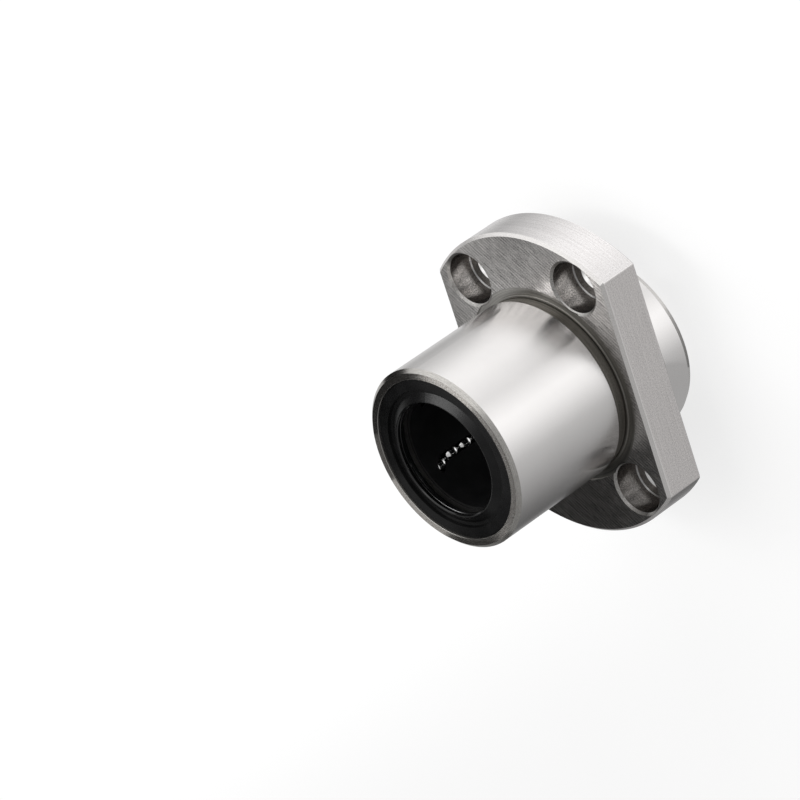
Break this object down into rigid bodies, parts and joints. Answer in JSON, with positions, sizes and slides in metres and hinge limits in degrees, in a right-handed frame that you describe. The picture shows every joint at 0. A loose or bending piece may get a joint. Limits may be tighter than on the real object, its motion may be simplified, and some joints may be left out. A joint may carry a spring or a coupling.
{
  "type": "flanged linear bearing",
  "caption": "Linear ball bearing with a steel sleeve, a pilot, a flange cut flat on two sides with counterbored holes, lip seals and recirculating ball rows around a shaft bore.",
  "frame": {"origin": "centre of the pilot's end face, which the part stands on", "axes": "+Z along the shaft from the pilot end to the body end, +X along the flange's long way, +Y across the two flats"},
  "size_m": [0.054, 0.038, 0.042],
  "materials": {
    "ground_steel": "ground and satin turned steel",
    "ring_steel": "stamped steel",
    "cage_resin": "black moulded resin",
    "seal_rubber": "matte black rubber",
    "ball_steel": "polished bearing steel"
  },
  "bodies": {
    "housing": {"flanged_sleeve": "ground_steel", "ball_cage": "cage_resin", "pilot_end_ring": "ring_steel", "body_end_ring": "ring_steel", "pilot_end_seal": "seal_rubber", "body_end_seal": "seal_rubber"},
    "loaded_balls_1": {"loaded_balls_1": "ball_steel"},
    "return_balls_1": {"return_balls_1": "ball_steel"},
    "body_turn_balls_1": {"body_turn_balls_1": "ball_steel"},
    "pilot_turn_balls_1": {"pilot_turn_balls_1": "ball_steel"},
    "loaded_balls_2": {"loaded_balls_2": "ball_steel"},
    "return_balls_2": {"return_balls_2": "ball_steel"},
    "body_turn_balls_2": {"body_turn_balls_2": "ball_steel"},
    "pilot_turn_balls_2": {"pilot_turn_balls_2": "ball_steel"},
    "loaded_balls_3": {"loaded_balls_3": "ball_steel"},
    "return_balls_3": {"return_balls_3": "ball_steel"},
    "body_turn_balls_3": {"body_turn_balls_3": "ball_steel"},
    "pilot_turn_balls_3": {"pilot_turn_balls_3": "ball_steel"},
    "loaded_balls_4": {"loaded_balls_4": "ball_steel"},
    "return_balls_4": {"return_balls_4": "ball_steel"},
    "body_turn_balls_4": {"body_turn_balls_4": "ball_steel"},
    "pilot_turn_balls_4": {"pilot_turn_balls_4": "ball_steel"},
    "loaded_balls_5": {"loaded_balls_5": "ball_steel"},
    "return_balls_5": {"return_balls_5": "ball_steel"},
    "body_turn_balls_5": {"body_turn_balls_5": "ball_steel"},
    "pilot_turn_balls_5": {"pilot_turn_balls_5": "ball_steel"}
  },
  "joints": [
    {"name": "loaded_row_1", "type": "slide", "parent": "housing", "child": "loaded_balls_1", "axis": [0, 0, 1], "range_m": [-0.00162, 0.00162]},
    {"name": "return_row_1", "type": "slide", "parent": "housing", "child": "return_balls_1", "axis": [0, 0, -1], "range_m": [-0.00162, 0.00162]},
    {"name": "body_turn_1", "type": "hinge", "parent": "housing", "child": "body_turn_balls_1", "pos_m": [-0.00706, 0.00947, 0.034], "axis": [0.4305, -0.9026, 0], "range_deg": [-45, 45]},
    {"name": "pilot_turn_1", "type": "hinge", "parent": "housing", "child": "pilot_turn_balls_1", "pos_m": [-0.00706, 0.00947, 0.008], "axis": [0.4305, -0.9026, 0], "range_deg": [-45, 45]},
    {"name": "loaded_row_2", "type": "slide", "parent": "housing", "child": "loaded_balls_2", "axis": [0, 0, 1], "range_m": [-0.00162, 0.00162]},
    {"name": "return_row_2", "type": "slide", "parent": "housing", "child": "return_balls_2", "axis": [0, 0, -1], "range_m": [-0.00162, 0.00162]},
    {"name": "body_turn_2", "type": "hinge", "parent": "housing", "child": "body_turn_balls_2", "pos_m": [-0.01119, -0.00379, 0.034], "axis": [0.9914, 0.1305, 0], "range_deg": [-45, 45]},
    {"name": "pilot_turn_2", "type": "hinge", "parent": "housing", "child": "pilot_turn_balls_2", "pos_m": [-0.01119, -0.00379, 0.008], "axis": [0.9914, 0.1305, 0], "range_deg": [-45, 45]},
    {"name": "loaded_row_3", "type": "slide", "parent": "housing", "child": "loaded_balls_3", "axis": [0, 0, 1], "range_m": [-0.00162, 0.00162]},
    {"name": "return_row_3", "type": "slide", "parent": "housing", "child": "return_balls_3", "axis": [0, 0, -1], "range_m": [-0.00162, 0.00162]},
    {"name": "body_turn_3", "type": "hinge", "parent": "housing", "child": "body_turn_balls_3", "pos_m": [0.00015, -0.01181, 0.034], "axis": [0.1822, 0.9833, 0], "range_deg": [-45, 45]},
    {"name": "pilot_turn_3", "type": "hinge", "parent": "housing", "child": "pilot_turn_balls_3", "pos_m": [0.00015, -0.01181, 0.008], "axis": [0.1822, 0.9833, 0], "range_deg": [-45, 45]},
    {"name": "loaded_row_4", "type": "slide", "parent": "housing", "child": "loaded_balls_4", "axis": [0, 0, 1], "range_m": [-0.00162, 0.00162]},
    {"name": "return_row_4", "type": "slide", "parent": "housing", "child": "return_balls_4", "axis": [0, 0, -1], "range_m": [-0.00162, 0.00162]},
    {"name": "body_turn_4", "type": "hinge", "parent": "housing", "child": "body_turn_balls_4", "pos_m": [0.01128, -0.00351, 0.034], "axis": [-0.8788, 0.4772, 0], "range_deg": [-45, 45]},
    {"name": "pilot_turn_4", "type": "hinge", "parent": "housing", "child": "pilot_turn_balls_4", "pos_m": [0.01128, -0.00351, 0.008], "axis": [-0.8788, 0.4772, 0], "range_deg": [-45, 45]},
    {"name": "loaded_row_5", "type": "slide", "parent": "housing", "child": "loaded_balls_5", "axis": [0, 0, 1], "range_m": [-0.00162, 0.00162]},
    {"name": "return_row_5", "type": "slide", "parent": "housing", "child": "return_balls_5", "axis": [0, 0, -1], "range_m": [-0.00162, 0.00162]},
    {"name": "body_turn_5", "type": "hinge", "parent": "housing", "child": "body_turn_balls_5", "pos_m": [0.00682, 0.00964, 0.034], "axis": [-0.7254, -0.6884, 0], "range_deg": [-45, 45]},
    {"name": "pilot_turn_5", "type": "hinge", "parent": "housing", "child": "pilot_turn_balls_5", "pos_m": [0.00682, 0.00964, 0.008], "axis": [-0.7254, -0.6884, 0], "range_deg": [-45, 45]}
  ],
  "couplings": [
    {"joint": "return_row_1", "follows": "loaded_row_1", "ratio": 1},
    {"joint": "body_turn_1", "follows": "loaded_row_1", "rad_per_m": 483.3},
    {"joint": "pilot_turn_1", "follows": "loaded_row_1", "rad_per_m": 483.3},
    {"joint": "return_row_2", "follows": "loaded_row_2", "ratio": 1},
    {"joint": "body_turn_2", "follows": "loaded_row_2", "rad_per_m": 483.3},
    {"joint": "pilot_turn_2", "follows": "loaded_row_2", "rad_per_m": 483.3},
    {"joint": "return_row_3", "follows": "loaded_row_3", "ratio": 1},
    {"joint": "body_turn_3", "follows": "loaded_row_3", "rad_per_m": 483.3},
    {"joint": "pilot_turn_3", "follows": "loaded_row_3", "rad_per_m": 483.3},
    {"joint": "return_row_4", "follows": "loaded_row_4", "ratio": 1},
    {"joint": "body_turn_4", "follows": "loaded_row_4", "rad_per_m": 483.3},
    {"joint": "pilot_turn_4", "follows": "loaded_row_4", "rad_per_m": 483.3},
    {"joint": "return_row_5", "follows": "loaded_row_5", "ratio": 1},
    {"joint": "body_turn_5", "follows": "loaded_row_5", "rad_per_m": 483.3},
    {"joint": "pilot_turn_5", "follows": "loaded_row_5", "rad_per_m": 483.3}
  ]
}
